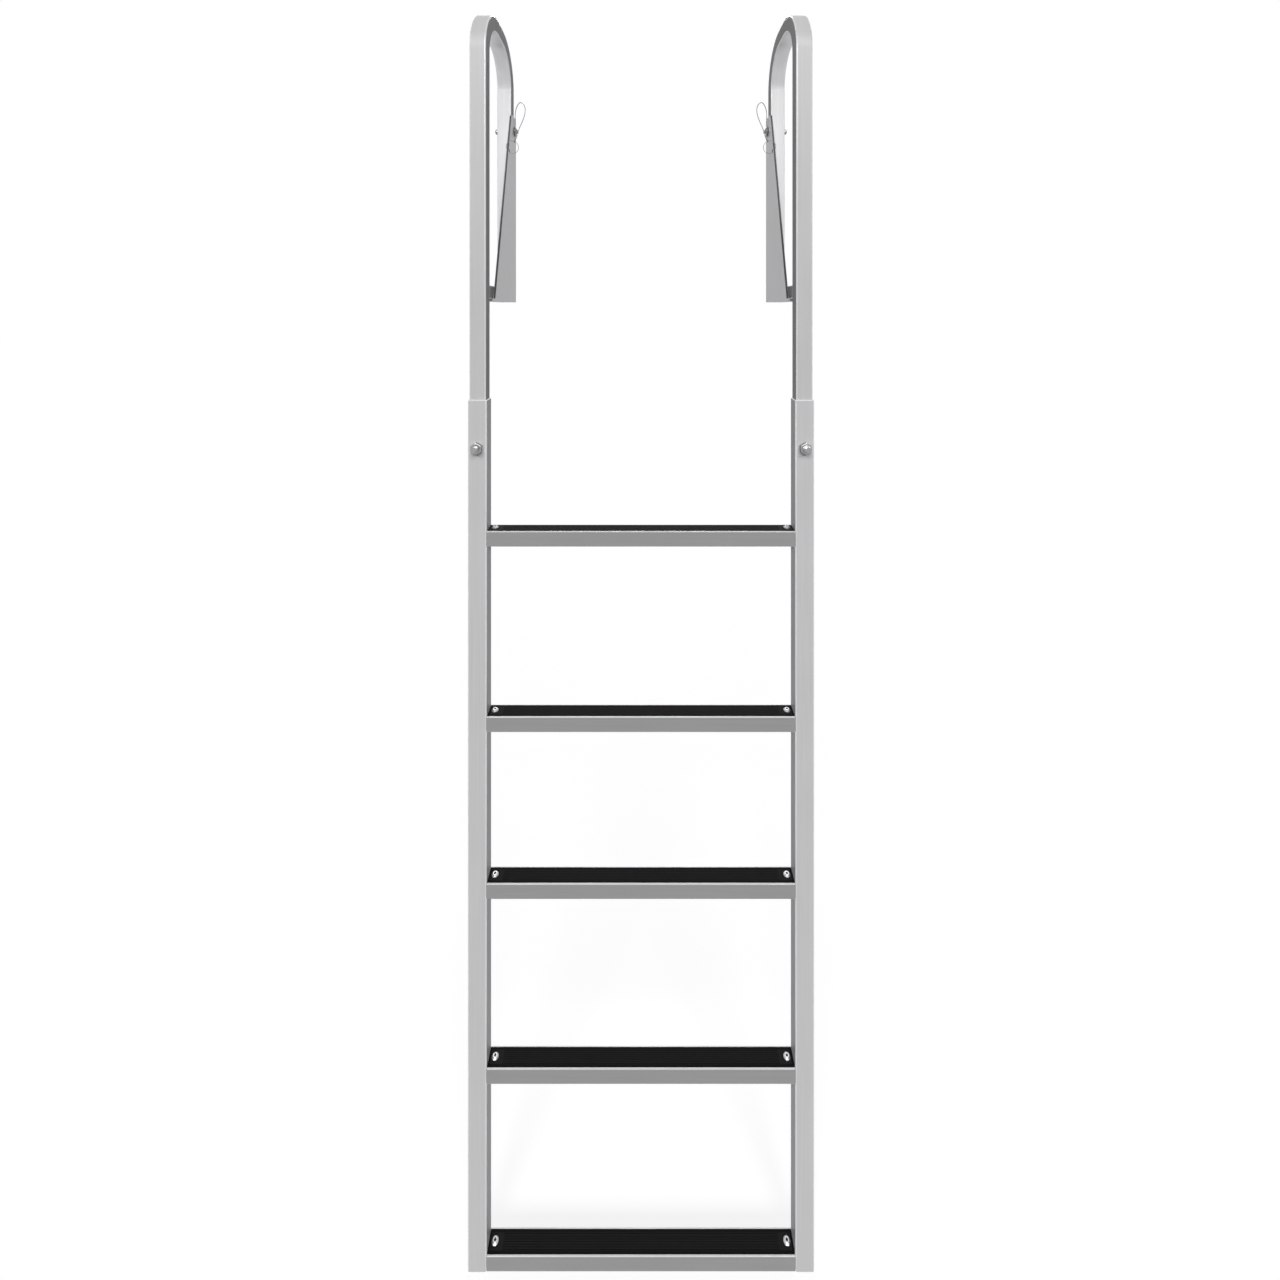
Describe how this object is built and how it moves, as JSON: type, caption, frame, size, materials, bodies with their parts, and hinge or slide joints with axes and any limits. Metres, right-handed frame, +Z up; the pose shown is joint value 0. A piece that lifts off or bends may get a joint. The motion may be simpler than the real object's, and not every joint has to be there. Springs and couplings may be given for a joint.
{
  "type": "dock ladder",
  "caption": "Fixed dock ladder with square tube stiles, rubber-topped steps, hand hoops and deck brackets held by lock pins on lanyards.",
  "frame": {"origin": "on the deck plane, in the middle of the left bracket's foot, on the centre line of its tubes; left as seen from the water", "axes": "+Z up along the ladder, +X across the ladder from the left bracket to the right one, +Y from the water towards the dock"},
  "size_m": [0.569, 0.2214, 2.065],
  "materials": {
    "stile_aluminium": "satin anodised",
    "hoop_aluminium": "satin anodised",
    "bracket_aluminium": "mill finish",
    "step_aluminium": "satin anodised",
    "stainless": "machined",
    "steel_cable": "stranded wire",
    "crimp_sleeve": "pressed",
    "rubber": "matte"
  },
  "bodies": {
    "ladder": {"stile_left": "stile_aluminium", "stile_right": "stile_aluminium", "hoop_left": "hoop_aluminium", "hoop_right": "hoop_aluminium", "base_tube_left": "hoop_aluminium", "base_tube_right": "hoop_aluminium", "deck_bracket_left": "bracket_aluminium", "deck_bracket_right": "bracket_aluminium", "lanyard_left": "steel_cable", "lanyard_right": "steel_cable", "lanyard_sleeve_left": "crimp_sleeve", "lanyard_sleeve_right": "crimp_sleeve", "lanyard_eye_left": "steel_cable", "lanyard_eye_right": "steel_cable", "lanyard_ring_left": "stainless", "lanyard_ring_right": "stainless", "splice_bolt_left": "stainless", "splice_bolt_right": "stainless", "splice_nut_left": "stainless", "splice_nut_right": "stainless", "step_1": "step_aluminium", "tread_1": "rubber", "tread_screws_1": "stainless", "step_2": "step_aluminium", "tread_2": "rubber", "tread_screws_2": "stainless", "step_3": "step_aluminium", "tread_3": "rubber", "tread_screws_3": "stainless", "step_4": "step_aluminium", "tread_4": "rubber", "tread_screws_4": "stainless", "step_5": "step_aluminium", "tread_5": "rubber", "tread_screws_5": "stainless"},
    "left_lock_pin": {"lock_pin_left": "stainless"},
    "right_lock_pin": {"lock_pin_right": "stainless"}
  },
  "joints": [
    {"name": "left_pin_pull", "type": "slide", "parent": "ladder", "child": "left_lock_pin", "axis": [1, 0, 0], "range_m": [0, 0.05]},
    {"name": "right_pin_pull", "type": "slide", "parent": "ladder", "child": "right_lock_pin", "axis": [-1, 0, 0], "range_m": [0, 0.05]}
  ]
}
